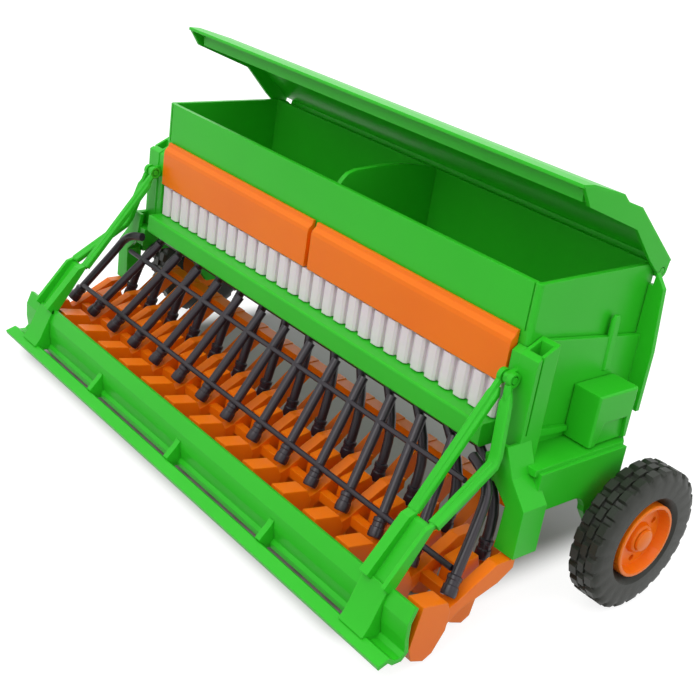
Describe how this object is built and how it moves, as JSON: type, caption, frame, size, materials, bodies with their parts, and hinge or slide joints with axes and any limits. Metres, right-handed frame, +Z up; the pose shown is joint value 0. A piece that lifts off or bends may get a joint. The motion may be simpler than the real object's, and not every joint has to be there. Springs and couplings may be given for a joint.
{
  "type": "toy seed drill",
  "caption": "Toy carried seed drill in bright green plastic with an open hopper lid, orange coulters, black seed tubes, a rear board and two wheels.",
  "frame": {"origin": "centre of the footprint, on the floor", "axes": "+X to the machine's right seen from behind, +Y the direction of travel, +Z up"},
  "size_m": [0.249, 0.1224, 0.1273],
  "materials": {
    "green_plastic": "smooth moulded plastic with a soft shine",
    "orange_plastic": "smooth moulded plastic with a soft shine",
    "black_plastic": "soft black plastic",
    "white_plastic": "white moulded plastic",
    "tyre_rubber": "black moulded tyre"
  },
  "bodies": {
    "frame": {"hopper": "green_plastic", "name_panel_left": "orange_plastic", "name_panel_right": "orange_plastic", "metering_slides": "white_plastic", "metering_beam": "green_plastic", "rear_tubes": "black_plastic", "front_tubes": "black_plastic", "rear_coulters": "orange_plastic", "front_coulters": "orange_plastic", "side_frame_right": "green_plastic", "side_frame_left": "green_plastic", "gearbox": "green_plastic", "hitch_frame": "green_plastic"},
    "lid": {"lid": "green_plastic"},
    "wheel_right": {"tyre_right": "tyre_rubber", "rim_right": "orange_plastic"},
    "wheel_left": {"tyre_left": "tyre_rubber", "rim_left": "orange_plastic"},
    "rear_board": {"rear_board": "green_plastic"}
  },
  "joints": [
    {"name": "lid_hinge", "type": "hinge", "parent": "frame", "child": "lid", "pos_m": [0, 0.04662, 0.0973], "axis": [-1, 0, 0], "range_deg": [-30.5, 70]},
    {"name": "wheel_right_spin", "type": "hinge", "parent": "frame", "child": "wheel_right", "pos_m": [0.119, 0.03182, 0.0232], "axis": [1, 0, 0], "continuous": true},
    {"name": "wheel_left_spin", "type": "hinge", "parent": "frame", "child": "wheel_left", "pos_m": [-0.119, 0.03182, 0.0232], "axis": [1, 0, 0], "continuous": true},
    {"name": "rear_board_swing", "type": "hinge", "parent": "frame", "child": "rear_board", "pos_m": [0, -0.01137, 0.073], "axis": [-1, 0, 0], "range_deg": [0, 60]}
  ]
}
